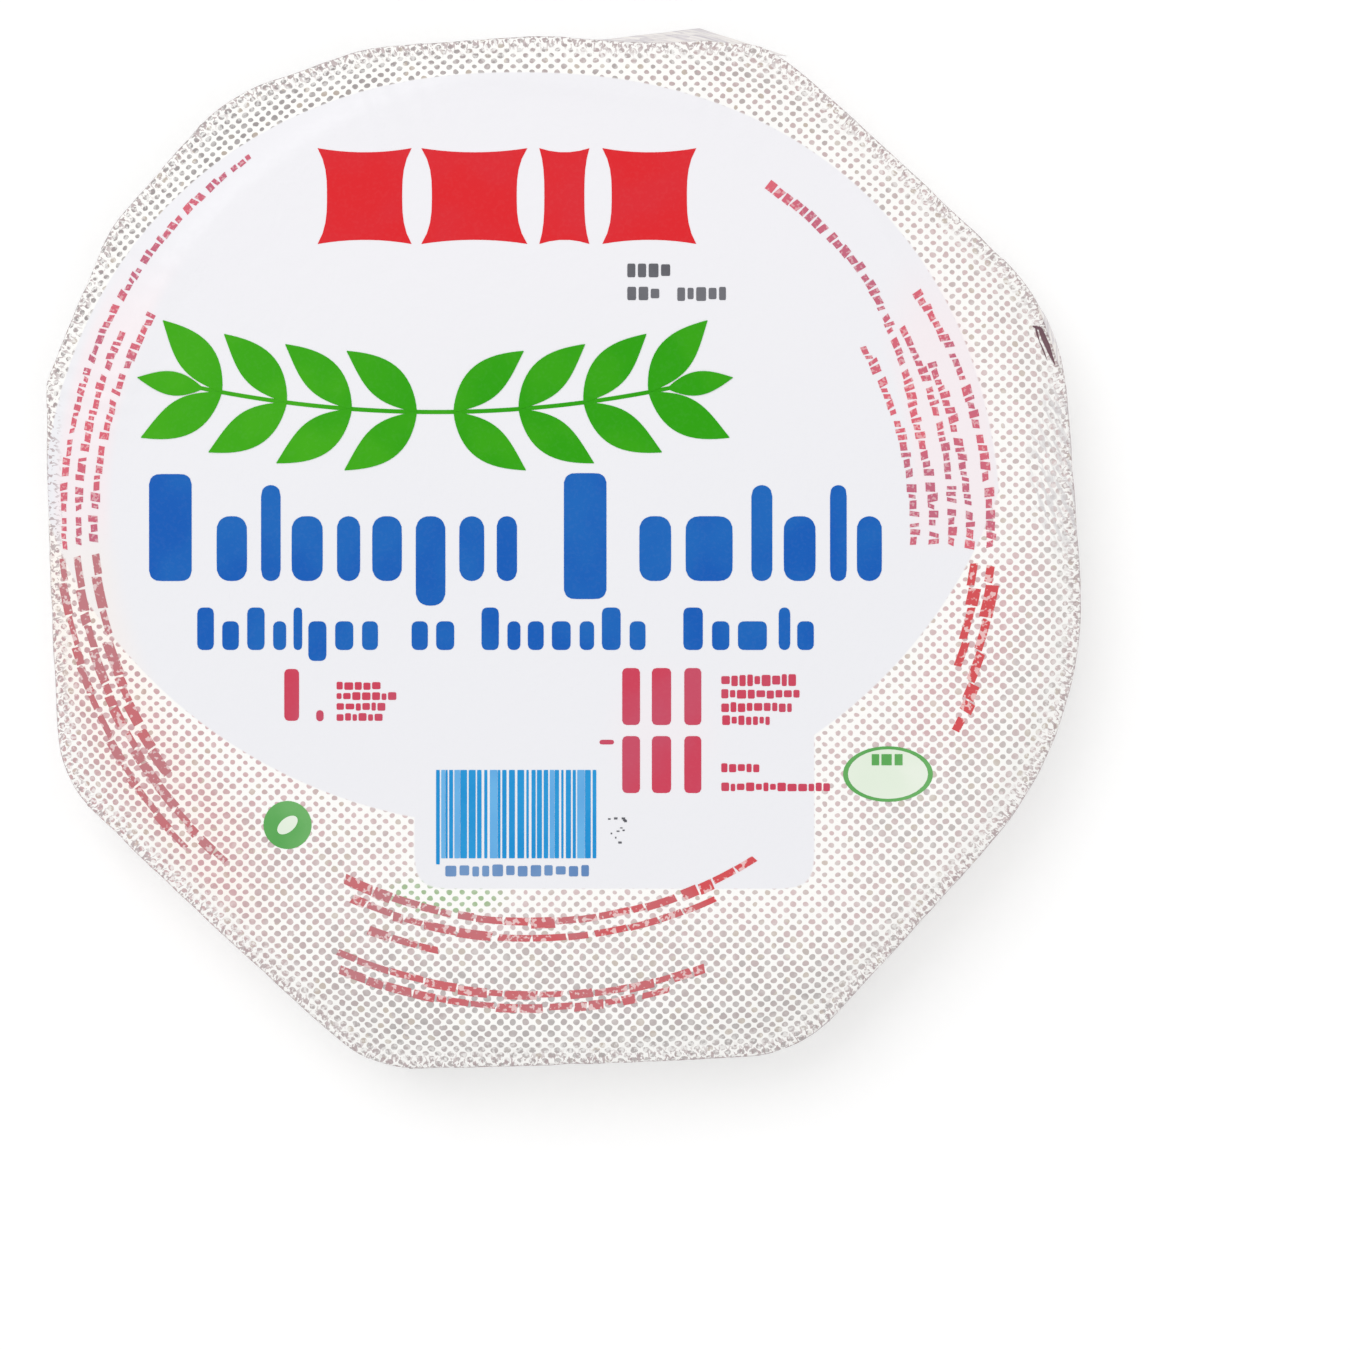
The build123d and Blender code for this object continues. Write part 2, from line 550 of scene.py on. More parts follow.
def makeDotLattice():
    # staggered rows of printed dots, each a little off in size, place and shape
    group, inside, outside = newGroup(
        "dotLattice",
        [("Position", "NodeSocketVector", None), ("Radius", "NodeSocketFloat", 0.6)],
        [("Mask", "NodeSocketFloat"), ("Tone", "NodeSocketFloat")])
    place = inside.outputs["Position"]
    wobble = calcVector(group, "SUBTRACT", grain(group, place, 0.55, 1.0, colour=True), (0.5, 0.5, 0.5))
    wobble = calcVector(group, "MULTIPLY", wobble, (dots["wobble"] * 2,) * 3)
    place = calcVector(group, "ADD", place, wobble)
    flat = calcVector(group, "MULTIPLY", place, (1, 1, 0))
    cells = calcVector(group, "DIVIDE", flat, dots["pitch"])

    def oneRow(shift):
        moved = calcVector(group, "ADD", cells, (shift, shift, 0))
        fromCentre = calcVector(group, "SUBTRACT", calcVector(group, "FRACTION", moved), (0.5, 0.5, 0))
        pitchX, pitchY, _ = dots["pitch"]
        scaled = calcVector(group, "MULTIPLY", fromCentre, (pitchX, pitchY * dots["flatness"], 0))
        number = calcVector(group, "ADD", calcVector(group, "FLOOR", moved), (shift * 97, shift * 31, 0))
        chance = addNode(group, "ShaderNodeTexWhiteNoise", noise_dimensions="3D")
        group.links.new(number, chance.inputs["Vector"])
        spread = dots["sizeSpread"] / 2
        size = fade(group, chance.outputs["Value"], 0, 1, 1 - spread, 1 + spread)
        away = calc(group, "DIVIDE", calcVector(group, "LENGTH", scaled, output=1), size)
        tone = addNode(group, "ShaderNodeSeparateColor")
        group.links.new(chance.outputs["Color"], tone.inputs[0])
        return away, tone.outputs[1]

    (firstAway, firstTone), (secondAway, secondTone) = oneRow(0.0), oneRow(0.5)
    away = calc(group, "MINIMUM", firstAway, secondAway)
    outer = calc(group, "ADD", inside.outputs["Radius"], dots["edge"])
    mask = fade(group, away, outer, inside.outputs["Radius"])
    group.links.new(mask, outside.inputs["Mask"])
    nearer = calc(group, "LESS_THAN", firstAway, secondAway)
    group.links.new(mixNumber(group, nearer, secondTone, firstTone), outside.inputs["Tone"])
    return group


# the undotted label: what a full round above and a flatter oval share, and a block that hangs below them
label = {
    "roundMiddle": (-10.0, -1.3, 0),
    "roundHalf": 104.5,
    "fullness": 2.24,         # over 2, it is fuller on the diagonals than a circle
    "ovalMiddle": (-10.3, 43.8, 0),
    "ovalHalf": (109.2, 103.7, 1),
    "blockMiddle": 10.9,
    "blockHalf": 43.2,
    "blockBottom": -73.2,
    "blockCorner": 10.0,
    "edge": 0.25,
}


def makeLabelZone():
    # how far a place on the sheet lies outside the label, in mm, and a mask of the label itself
    group, inside, outside = newGroup(
        "labelZone", [("Position", "NodeSocketVector", None)],
        [("Mask", "NodeSocketFloat"), ("Beyond", "NodeSocketFloat")])
    place = calcVector(group, "MULTIPLY", inside.outputs["Position"], (1, 1, 0))
    x, y, _ = splitVector(group, place)
    away = calcVector(group, "ABSOLUTE", calcVector(group, "SUBTRACT", place, label["roundMiddle"]))
    away = calcVector(group, "DIVIDE", away, (label["roundHalf"], label["roundHalf"], 1))
    across, up, _ = splitVector(group, away)
    full = calc(group, "ADD", calc(group, "POWER", across, label["fullness"]),
                calc(group, "POWER", up, label["fullness"]))
    full = calc(group, "SUBTRACT", calc(group, "POWER", full, 1 / label["fullness"]), 1.0)
    full = calc(group, "MULTIPLY", full, label["roundHalf"])
    away = calcVector(group, "DIVIDE", calcVector(group, "SUBTRACT", place, label["ovalMiddle"]),
                      label["ovalHalf"])
    oval = calc(group, "SUBTRACT", calcVector(group, "LENGTH", away, output=1), 1.0)
    oval = calc(group, "MULTIPLY", oval, label["ovalHalf"][1])
    blockSide = calc(group, "ABSOLUTE", calc(group, "SUBTRACT", x, label["blockMiddle"]))
    blockSide = calc(group, "SUBTRACT", blockSide, label["blockHalf"])
    block = calc(group, "MAXIMUM", calc(group, "SUBTRACT", label["blockBottom"], y), y)
    block = calc(group, "SMOOTH_MAX", blockSide, block, label["blockCorner"])
    beyond = calc(group, "MINIMUM", calc(group, "MAXIMUM", full, oval), block)
    group.links.new(beyond, outside.inputs["Beyond"])
    group.links.new(fade(group, beyond, label["edge"], -label["edge"]), outside.inputs["Mask"])
    return group


filmCrinkle = makeFilmCrinkle()
inkLaydown = makeInkLaydown()
dotLattice = makeDotLattice()
labelZone = makeLabelZone()


# Materials
filmColours = {
    "bare": shade(253, 252, 249),
    # the label's own pale grey, with painted light: a little lighter at its top than at its bottom
    "labelShadedLow": shade(238, 238, 242),
    "labelLitHigh": shade(241, 240, 244),
    "dotNear": shade(205, 176, 177),
    "dotFar": shade(180, 170, 168),
    "dotPink": shade(206, 150, 156),
    "dotDeep": shade(150, 144, 144),
    "dotTan": shade(200, 184, 166),
    "dotGreen": shade(140, 175, 118),
    "doubled": shade(214, 211, 212),
    "crushed": shade(172, 152, 154),
    "pinkHaze": shade(251, 233, 236),
    "creamHaze": shade(253, 238, 226),
    # painted shade: the colour of the thin line where the film turns down at the outline
    "crease": shade(150, 132, 136),
}
hazes = {
    "middle": (-7.5, 10.6, 0),
    "left": (-78, 91, 103),       # left of this x, from this distance to that one
    "right": (72, 83, 101),
    "soft": 1.5,
    "softer": 6,
    "height": (-2, 8, 44, 68),    # comes in and goes out between these
    "pinkShare": 0.5,
    "figuresShare": 0.5,
    "creamShare": 0.35,
    # where the long strokes' ink spreads: in distance from the middle, in x and in y
    "byLeftStrokes": ((88, 95, 106, 113), (-56, -76), (10, -4)),
    "byRightStrokes": ((90, 95, 106, 113), (60, 72), (-50, -38, -6, 2)),
    # soft ovals: middle and half size
    "figures": ((21.5, -39.0, 0), (15.0, 18.0, 1)),
    "greenDots": ((-25.5, -74.5, 0), (16.0, 5.2, 1)),
    "doubledFilm": ((108.0, 18.0, 0), (9.0, 22.0, 1)),
}


def spotMask(tree, place, middle, half, start=1.0, end=0.6):
    # a soft oval
    away = calcVector(tree, "DIVIDE", calcVector(tree, "SUBTRACT", place, middle), half)
    return fade(tree, calcVector(tree, "LENGTH", away, output=1), start, end)


def streakMask(tree, place, angle, stretch, start, end):
    # noise drawn out into streaks at an angle in degrees
    turned = addNode(tree, "ShaderNodeVectorRotate", rotation_type="Z_AXIS")
    feed(tree, turned.inputs["Vector"], place)
    feed(tree, turned.inputs["Angle"], radians(angle))
    streaks = calcVector(tree, "MULTIPLY", turned.outputs[0], stretch)
    return fade(tree, grain(tree, streaks, 1.0, 3.0, distortion=0.5), start, end)


def makePrintedFilm():
    # the wrap: white film with a plain label and rows of dots all round it
    material, tree, shader = newMaterial("printedFilm")
    sheet = readSheet(tree)
    x, y, pastRim = splitVector(tree, sheet)
    flat = calcVector(tree, "MULTIPLY", sheet, (1, 1, 0))
    zone = useGroup(tree, labelZone, Position=flat)
    onLabel, beyond = zone.outputs["Mask"], zone.outputs["Beyond"]
    fromMiddle = calcVector(tree, "DISTANCE", flat, hazes["middle"], output=1)

    # the label's own pale grey, painted lighter towards the top as painted light
    labelColour = mixColour(tree, fade(tree, y, -20, 95), filmColours["labelShadedLow"], filmColours["labelLitHigh"])
    colour = mixColour(tree, onLabel, filmColours["bare"], labelColour)

    # the haze of scattered ink round the small print
    bands = []
    for side, sign in (("left", -1), ("right", 1)):
        limit, inner, outer = hazes[side]
        soft, softer = hazes["soft"], hazes["softer"] * sign
        band = within(tree, fromMiddle, inner - soft, inner + soft, outer - soft, outer + soft)
        bands.append(product(tree, band, fade(tree, x, limit - softer, limit + softer)))
    pink = product(tree, calc(tree, "MAXIMUM", *bands), within(tree, y, *hazes["height"]))
    figures = product(tree, spotMask(tree, flat, *hazes["figures"], 1.0, 0.3), hazes["figuresShare"])
    pink = product(tree, calc(tree, "MAXIMUM", pink, figures), hazes["pinkShare"])
    colour = mixColour(tree, pink, colour, filmColours["pinkHaze"])
    ring, sideways, upwards = hazes["byLeftStrokes"]
    byLeftStrokes = product(tree, within(tree, fromMiddle, *ring), fade(tree, x, *sideways),
                            fade(tree, y, *upwards))
    cream = product(tree, byLeftStrokes, hazes["creamShare"])
    colour = mixColour(tree, cream, colour, filmColours["creamHaze"])

    # the dots, small beside the label and bigger away from it, deep towards the upper left and at the bottom
    upward = calc(tree, "SUBTRACT", y, x)
    deep = calc(tree, "MAXIMUM", fade(tree, upward, 50, 170), fade(tree, y, -70, -112, 0.0, 0.7))
    nearRadius, farRadius = dots["radius"]
    radius = fade(tree, beyond, 0, dots["growth"], nearRadius, farRadius)
    radius = calc(tree, "MULTIPLY_ADD", deep, dots["deepExtra"], radius)
    lattice = useGroup(tree, dotLattice, Position=flat, Radius=radius)
    tone = lattice.outputs["Tone"]
    farOff = calc(tree, "MAXIMUM", fade(tree, beyond, 0, 22, 0.0, 0.6), fade(tree, y, 40, 100, 0.0, 0.6))
    drift = calc(tree, "ADD", farOff, fade(tree, tone, 0.2, 0.9, -0.2, 0.5))
    dotColour = mixColour(tree, drift, filmColours["dotNear"], filmColours["dotFar"])
    ring, sideways, upwards = hazes["byRightStrokes"]
    byRightStrokes = product(tree, within(tree, fromMiddle, *ring), fade(tree, x, *sideways),
                             within(tree, y, *upwards))
    pinkDots = product(tree, fade(tree, x, -30, -90, 0.0, 0.5), fade(tree, y, 60, 0))
    for strokes, share in ((byLeftStrokes, dots["pinkLeft"]), (byRightStrokes, dots["pinkRight"])):
        pinkDots = calc(tree, "MAXIMUM", pinkDots, product(tree, strokes, share))
    dotColour = mixColour(tree, pinkDots, dotColour, filmColours["dotPink"])
    dotColour = mixColour(tree, product(tree, deep, dots["deepShare"]), dotColour, filmColours["dotDeep"])
    dotColour = mixColour(tree, fade(tree, tone, 0.88, 0.94, 0.0, 0.6), dotColour, filmColours["dotTan"])
    greenDots = spotMask(tree, flat, *hazes["greenDots"])
    dotColour = mixColour(tree, greenDots, dotColour, filmColours["dotGreen"])
    strength = product(tree, fade(tree, grain(tree, flat, 0.35, 2.0), 0.25, 0.6, 0.75, 1.0),
                       fade(tree, upward, 90, -90, 1.0, 0.86))
    gaps = product(tree, fade(tree, pastRim, -10, -3), fade(tree, grain(tree, flat, 0.9), 0.45, 0.58))
    whole = calc(tree, "MULTIPLY_ADD", gaps, -dots["rimLoss"], 1.0)
    offLabel = calc(tree, "SUBTRACT", 1.0, onLabel)
    dotShare = product(tree, lattice.outputs["Mask"], strength, whole, offLabel)
    colour = mixColour(tree, dotShare, colour, dotColour)

    # at the rim the print is crushed into small grey marks, drawn out across it
    drawn = addNode(tree, "ShaderNodeCombineXYZ")
    feed(tree, drawn.inputs[0], product(tree, calc(tree, "ARCTAN2", y, x), rimMarks["around"]))
    feed(tree, drawn.inputs[1], product(tree, pastRim, rimMarks["along"]))
    marks = grain(tree, drawn.outputs[0], rimMarks["scale"], 1.0, distortion=0.6)
    marks = fade(tree, marks, *rimMarks["edge"])
    crushed = product(tree, marks, within(tree, pastRim, *rimMarks["width"]), rimMarks["share"])
    colour = mixColour(tree, crushed, colour, filmColours["crushed"])

    # where the film lies double, the layer beneath shows through as grey streaks
    streaks = streakMask(tree, flat, -24, (0.95, 0.22, 0), 0.46, 0.60)
    doubled = product(tree, spotMask(tree, flat, *hazes["doubledFilm"]), product(tree, streaks, 0.75))
    colour = mixColour(tree, doubled, colour, filmColours["doubled"])

    # a thin line of painted shade where the film turns down at the outline
    foldShadeLine = fade(tree, grain(tree, flat, 0.12, 2.0), 0.35, 0.65, 0.15, 0.6)
    foldShadeLine = product(tree, within(tree, pastRim, -1.5, -0.8, 0.1, 0.8), foldShadeLine)
    colour = mixColour(tree, foldShadeLine, colour, filmColours["crease"])

    crinkle = useGroup(tree, filmCrinkle, Position=sheet, Roughness=0.40)
    height = calc(tree, "MULTIPLY", crinkle.outputs["Height"], fade(tree, beyond, -6, 6, 0.35, 1.0))
    finishSurface(tree, shader, colour, crinkle.outputs["Roughness"], height, 1.0)
    return material


def makeLooseFilm():
    # film with no print on it, in thin layers, with grey lines of painted shade along the layers' edges
    material, tree, shader = newMaterial("looseFilm")
    sheet = readSheet(tree)
    stretched = calcVector(tree, "MULTIPLY", sheet, (0.10, 2.2, 1.0))
    layerShadeLines = grain(tree, stretched, 1.0, 3.0, distortion=0.3)
    # the darker tone is painted shade along the edges of the film's layers
    colour = mixColour(tree, fade(tree, layerShadeLines, 0.35, 0.62), shade(214, 209, 213), shade(244, 240, 236))
    crinkle = useGroup(tree, filmCrinkle, Position=sheet, Roughness=0.34)
    height = calc(tree, "MULTIPLY_ADD", layerShadeLines, 0.10, crinkle.outputs["Height"])
    finishSurface(tree, shader, colour, crinkle.outputs["Roughness"], height, 1.0)
    return material


def makeInk(name, tone, secondTone, drift=0.5, across=None, wear=0.006, fleckScale=1.4):
    # across: (x from, x to) in mm where the second tone gives way to the first
    # wear: how far flecks of the ink are gone
    material, tree, shader = newMaterial(name)
    shader.inputs["Specular IOR Level"].default_value = 0.12
    place = placeInMm(tree)
    if across:
        drift = fade(tree, splitVector(tree, place)[0], *across, 0.95, 0.05)
    laid = useGroup(tree, inkLaydown, **{"Position": place, "Tone": tone, "Second Tone": secondTone,
                                         "Drift": drift, "Wear": wear, "Fleck Scale": fleckScale})
    finishSurface(tree, shader, laid.outputs["Color"], laid.outputs["Roughness"], laid.outputs["Height"], 1.0)
    return material


printedFilm = makePrintedFilm()
looseFilm = makeLooseFilm()
print("materials made")


# The wrap over the face and the side
def buildWrapFilm():
    bm = bmesh.new()
    radius = wrap["discRadius"]
    spots = {}  # each vertex: direction, film used from the disc's edge, film used at the start of the side
    for vert in addGrid(bm, wrap["discCells"], wrap["discCells"]):
        s, t = toDisc(vert.co.x, vert.co.y)
        vert.co = (s * radius, t * radius, levelAt(s * radius, t * radius))
        spots[vert] = (atan2(t, s), hypot(s, t) * radius - radius, 0)
    ring = [vert for vert in bm.verts if vert.is_boundary]
    ring.sort(key=lambda vert: atan2(vert.co.y, vert.co.x))
    angles = [atan2(vert.co.y, vert.co.x) for vert in ring]
    columns = [sectionRuns(frontAt(angle)) for angle in angles]
    starts = [sum(length for length, _ in runs[:wallRun]) for runs in columns]

    for run, rows in enumerate(wrap["rows"]):
        for row in range(1, rows + 1):
            places, marks = [], []
            for angle, runs, start in zip(angles, columns, starts):
                out, level, lean, used = alongSection(runs, run, row / rows)
                x, y = polar(out, angle)
                upper, sideways = max(cos(lean), 0), sin(lean) ** 2
                level += reliefAt(x, y) * upper if run < wallRun else 0
                ripple = sideReliefAt(angle, level) * sideways
                ripple *= 1 if lean < film["underLean"] else film["underShare"]
                places.append((*polar(out + min(ripple, film["mostBulge"]), angle), level))
                marks.append((angle, used, start))
            ring = ringOut(bm, ring, places)
            spots.update(zip(ring, marks))
    ring = ringOut(bm, ring, [(vert.co.x, vert.co.y, vert.co.z + wrap["hemRise"]) for vert in ring])
    spots.update(zip(ring, marks))
    hemEdges = [bm.edges.get(pair) for pair in zip(ring, ring[1:] + ring[:1])]
    hidden = set(bmesh.ops.edgeloop_fill(bm, edges=hemEdges)["faces"])

    # the place of each face's corners on the flat sheet that the wrap was cut from
    sheet = bm.loops.layers.float_vector.new("sheet")
    bakeMap = bm.loops.layers.uv.new("OFBake")
    span = 2 * (radius + max(used for _, used, _ in spots.values()) + 1)
    for face in bm.faces:
        middle = face.calc_center_median()
        facing = radians(facets[facetAt(atan2(middle.y, middle.x))][0])
        for loop in face.loops:
            angle, used, start = spots[loop.vert]
            place = polar(radius + (min(used, start) if start else used), angle)
            if start and used > start:
                place += polar(used - start, facing)
            pastRim = used - start if start else radius + used - frontAt(angle)
            loop[sheet] = (*place, pastRim)
            loop[bakeMap].uv = Vector((0.5, 0.5)) + place / span
            if face in hidden:  # the closed bottom takes a small corner of the map
                loop[bakeMap].uv = Vector((0.03, 0.03)) + polar(0.02, angle)
    return finishPiece("wrapFilm", bm, printedFilm)


buildWrapFilm()

# The folds under the base
baseFold = {
    "count": 8,
    "firstAngle": radians(24.5),  # where the first fold's edge reaches the side
    "eyeRadius": 30.0,            # how far each edge passes from the middle
    "startRadius": 32.0,
    "step": 0.7,
    "width": 27.0,
    "tuck": 0.09,                 # the share of a fold that lies under the one before
    "thickness": 0.22,
    "columns": 26,
    "outerRows": ((6, 0.15), (6, 0.35), (6, 0.55), (6, 0.78), (7, 0.0), (7, 0.3), (7, 0.65), (7, 1.0)),
    "flatRows": 26,
    "turnedAt": 127.0,            # the sheet turns over at this distance from its middle
    "pastRim": 40.0,              # well past the rim, so that no rim marks show
    "ripple": 0.10,
    "flushFrom": 92,              # from this distance out the steps grow shallow
    "flushShare": 0.88,
}
baseMiddle = {
    "reach": 1.5,         # how far it goes under the folds round it
    "cells": 30,
    "level": 0.30,
    "twist": 0.10,        # the height of its pressed folds
    "sheetAside": 190,    # its place on the flat sheet
}


def foldDirection(index):
    aside = asin(baseFold["eyeRadius"] / wrap["cheeseRadius"])
    return baseFold["firstAngle"] + index * 2 * pi / baseFold["count"] - aside


def buildBaseFolds():
    bm = bmesh.new()
    inward = {}
    sheetPlaces = {}
    rows = len(baseFold["outerRows"]) + baseFold["flatRows"]
    baseFlat = wrap["cheeseRadius"] - wrap["baseInset"]
    turn = 2 * pi / baseFold["count"]
    for index in range(baseFold["count"]):
        direction = foldDirection(index)
        mirror = direction + pi / 2
        for vert in addGrid(bm, baseFold["columns"], rows):
            share = (vert.co.x + 1) / 2 * (1 + baseFold["tuck"]) - baseFold["tuck"]
            row = round((vert.co.y + 1) / 2 * rows)
            lean, level = pi, 0.0
            if row < len(baseFold["outerRows"]):
                out = baseFlat
                for _ in range(2):
                    angle = direction + asin(baseFold["eyeRadius"] / out) + share * turn
                    runs = sectionRuns(frontAt(angle))
                    out, level, lean, _ = alongSection(runs, *baseFold["outerRows"][row])
                level -= wrap["baseLift"]
            else:
                down = (row - len(baseFold["outerRows"]) + 1) / (baseFold["flatRows"] + 1)
                out = baseFlat + (baseFold["startRadius"] - baseFlat) * down
            angle = direction + asin(baseFold["eyeRadius"] / out) + share * turn
            past = out * sin(angle - direction) - baseFold["eyeRadius"]
            recess = baseFold["step"] * min(max(1 - past / baseFold["width"], 0), 1.1)
            recess *= 1 - baseFold["flushShare"] * smoothStep(baseFold["flushFrom"], baseFlat, out)
            ripple = baseFold["ripple"] * noise.noise(Vector((out / 16, angle * 9, index)))
            ripple *= smoothStep(30, 60, out)
            recess += max(ripple, 0) * smoothStep(1.0, 0.85, share)
            way = outwards(angle, lean)
            place = polar(out, angle)
            vert.co = Vector((place.x, place.y, level)) - way * recess
            inward[tuple(vert.co)] = -way * baseFold["thickness"]
            axis = polar(1, mirror)
            turned = place + axis * 2 * (baseFold["turnedAt"] - place.dot(axis))
            sheetPlaces[tuple(vert.co)] = (*turned, baseFold["pastRim"])
    writeSheet(bm, lambda spot: sheetPlaces[tuple(spot)])
    thicken(bm, lambda vert: inward[tuple(vert.co)])
    return finishPiece("baseFolds", bm, printedFilm)


def buildBaseMiddle():
    # the last of the film, pressed flat inside the ring of folds
    bm = bmesh.new()
    radius = baseFold["startRadius"] + baseMiddle["reach"]
    for vert in addGrid(bm, baseMiddle["cells"], baseMiddle["cells"]):
        s, t = toDisc(vert.co.x, vert.co.y)
        out = hypot(s, t) * radius
        twist = sin(baseFold["count"] * (atan2(t, s) - 0.9 * out / radius)) * smoothStep(6, radius, out)
        vert.co = (s * radius, t * radius, baseMiddle["level"] + baseMiddle["twist"] * twist)
    writeSheet(bm, lambda spot: (spot.x + baseMiddle["sheetAside"], spot.y, baseFold["pastRim"]))
    thicken(bm, lambda vert: (0, 0, baseFold["thickness"]))
    return finishPiece("baseMiddle", bm, printedFilm)


buildBaseFolds()
buildBaseMiddle()

# The pleats at the corners of the side
pleat = {
    "height": 28.0,        # of the cheese; film that turns by an angle has that much to spare
    "root": 2.0,
    "rootThickness": 0.70,
    "edgeThickness": 0.42,
    "opening": 0.3,        # the share of its height over which it comes to stand out
    "sunk": 0.15,
    "cells": (9, 16),
    "startsAbove": 0.6,    # how much film before the side it starts
    "underReach": 2.0,     # how far it goes on under the base
    "wave": 0.5,
    "sheetOut": 150,       # its place on the flat sheet
    "pastRim": 15.0,
}


def buildPleats():
    bm = bmesh.new()
    inward = {}
    sheetPlaces = {}
    for index, corner in enumerate(corners):
        facing, slack, _ = facets[(index + 1) % len(facets)]
        reach = wrap["cheeseRadius"] + slack
        width = pleat["height"] * corner["turn"] / 2
        tipAside = -sqrt(corner["tip"].length_squared - reach ** 2)
        cornerEnd = corner["radius"] * tan(corner["turn"] / 2)
        for vert in addGrid(bm, *pleat["cells"]):
            across, down = (vert.co.x + 1) / 2, (1 - vert.co.y) / 2
            wave = pleat["wave"] * noise.noise(Vector((down * 3, index * 5.0, 2.0))) * down
            aside = tipAside + cornerEnd - pleat["root"] + across * (pleat["root"] + width * down + wave)
            angle = radians(facing) + atan2(aside, reach)
            runs = sectionRuns(frontAt(angle))
            upper = sum(length for length, _ in runs[:wallRun]) - pleat["startsAbove"]
            lower = sum(length for length, _ in runs[:wallRun + 2])
            used = upper + (lower - upper + pleat["underReach"]) * down
            out, level, lean = placeOn(runs, used)
            thick = pleat["rootThickness"] + (pleat["edgeThickness"] - pleat["rootThickness"]) * across
            thick *= 0.1 + 0.9 * smoothStep(0, pleat["opening"], down)
            way = outwards(angle, lean)
            vert.co = Vector((*polar(out, angle), level)) + way * thick
            inward[tuple(vert.co)] = -way * (thick + pleat["sunk"])
            turned = polar(used, radians(facing) + corner["turn"] / 2)
            turned += polar(aside, radians(facing) + pi / 2)
            turned += polar(pleat["sheetOut"], radians(facing))
            sheetPlaces[tuple(vert.co)] = (*turned, pleat["pastRim"])
    writeSheet(bm, lambda spot: sheetPlaces[tuple(spot)])
    thicken(bm, lambda vert: inward[tuple(vert.co)])
    return finishPiece("cornerPleats", bm, printedFilm)


buildPleats()

# The loose film that shows behind the face
looseEar = {
    "outline": ((48.4, 108.2), (29.4, 114.2), (0.0, 110.8)),  # the pointed tip, the peak, the hidden end
    "inside": 1.6,        # how far it reaches in under the face
    "tipShare": 0.14,     # the part of its length over which it narrows to the tip
    # each layer: how far short of the outline it ends, how far it lies under the face, where it starts
    "layers": ((0.0, 6.6, 0.0), (0.8, 6.2, 0.05), (1.6, 5.8, 0.1)),
    "thickness": 0.22,
    "cells": (60, 6),
    "wave": 0.35,
    "fall": 0.7,           # how far its edge hangs
    "sheetRadius": 115,    # these two lay the layers out on the flat film
    "layerShift": 2.3,
}


def earEdge(share):
    tip, peak, end = (Vector(place) for place in looseEar["outline"])
    return tip.lerp(peak, 2 * share) if share < 0.5 else peak.lerp(end, 2 * share - 1)


def buildLooseEar():
    bm = bmesh.new()
    sheetPlaces = {}
    for number, (short, under, start) in enumerate(looseEar["layers"]):
        for vert in addGrid(bm, *looseEar["cells"]):
            share, across = start + (1 - start) * (vert.co.x + 1) / 2, (vert.co.y + 1) / 2
            outer = earEdge(share)
            angle = atan2(outer.y, outer.x)
            outer -= polar(short, angle)
            opened = 0.1 + 0.9 * smoothStep(start, start + looseEar["tipShare"], share)
            inner = outer.lerp(polar(frontAt(angle) - looseEar["inside"], angle), opened)
            place = inner.lerp(outer, across)
            wave = looseEar["wave"] * noise.noise(Vector((angle * 22, number * 3.0, across)))
            vert.co = (*place, faceLevel - under - looseEar["fall"] * across + wave * across)
            spotOut = place.length - wrap["discRadius"] + number * looseEar["layerShift"]
            sheetPlaces[tuple(vert.co)] = (angle * looseEar["sheetRadius"], spotOut, 0.0)
    writeSheet(bm, lambda spot: sheetPlaces[tuple(spot)])
    thicken(bm, lambda vert: (0, 0, -looseEar["thickness"]))
    return finishPiece("looseEar", bm, looseFilm)


buildLooseEar()

# What is printed on the face
ink = {
    "lift": 0.06,       # how far the ink stands over the film, so that it stays clear of it
    "depth": 0.13,      # from its top to its underside, which is in the film
    "cell": 2.4,        # the longest cell of a printed shape
    "seed": 41,
}


def cellsFor(width, height, least=2):
    return max(least, ceil(width / ink["cell"])), max(least, ceil(height / ink["cell"]))


def addMark(bm, cells, place, lift=ink["lift"]):
    # one printed shape: a square of cells, -1 to 1 each way, that place puts on the face
    for vert in addGrid(bm, *cells):
        x, y = place(vert.co.x, vert.co.y)
        vert.co = (x, y, levelAt(x, y) + lift)


def finishMarks(name, bm, material, depth=ink["depth"]):
    bmesh.ops.remove_doubles(bm, verts=bm.verts, dist=0.002)
    thicken(bm, lambda vert: (0, 0, -depth))
    return finishPiece(name, bm, material, sharp=True)


def addBlock(bm, left, right, bottom, top, rounding=1.0, least=8):
    # a block with round corners
    middleX, middleY = (left + right) / 2, (bottom + top) / 2
    halfX, halfY = (right - left) / 2, (top - bottom) / 2
    rounding = min(rounding, halfX, halfY)

    def place(s, t):
        # the cells are narrower towards the corners, which makes those round
        x, y = sin(pi / 2 * abs(s)) * halfX, sin(pi / 2 * abs(t)) * halfY
        pastX, pastY = max(x - halfX + rounding, 0), max(y - halfY + rounding, 0)
        overX, overY = toDisc(pastX / rounding, pastY / rounding)
        x = min(x, halfX - rounding) + overX * rounding
        y = min(y, halfY - rounding) + overY * rounding
        return middleX + (x if s > 0 else -x), middleY + (y if t > 0 else -y)

    addMark(bm, cellsFor(right - left, top - bottom, least), place)


def addBlockRow(bm, chance, left, right, bottom, top, widths=(0.9, 2.0), gap=0.35, rounding=0.3):
    # small blocks of uneven width and height, side by side
    while right - left > widths[0]:
        width = min(chance.uniform(*widths), right - left)
        dip = chance.uniform(0, 0.18) * (top - bottom)
        addBlock(bm, left, left + width, bottom + dip * (chance.random() < 0.4), top - dip, rounding, 4)
        left += width + gap


headSlabs = {
    "slabs": ((-53.2, -32.9), (-30.8, -7.9), (-5.3, 5.5), (8.3, 28.6)),  # left and right sides
    "bottom": 66.1,
    "top": 86.8,
    "waist": 0.20,
    "sag": 0.9,
}


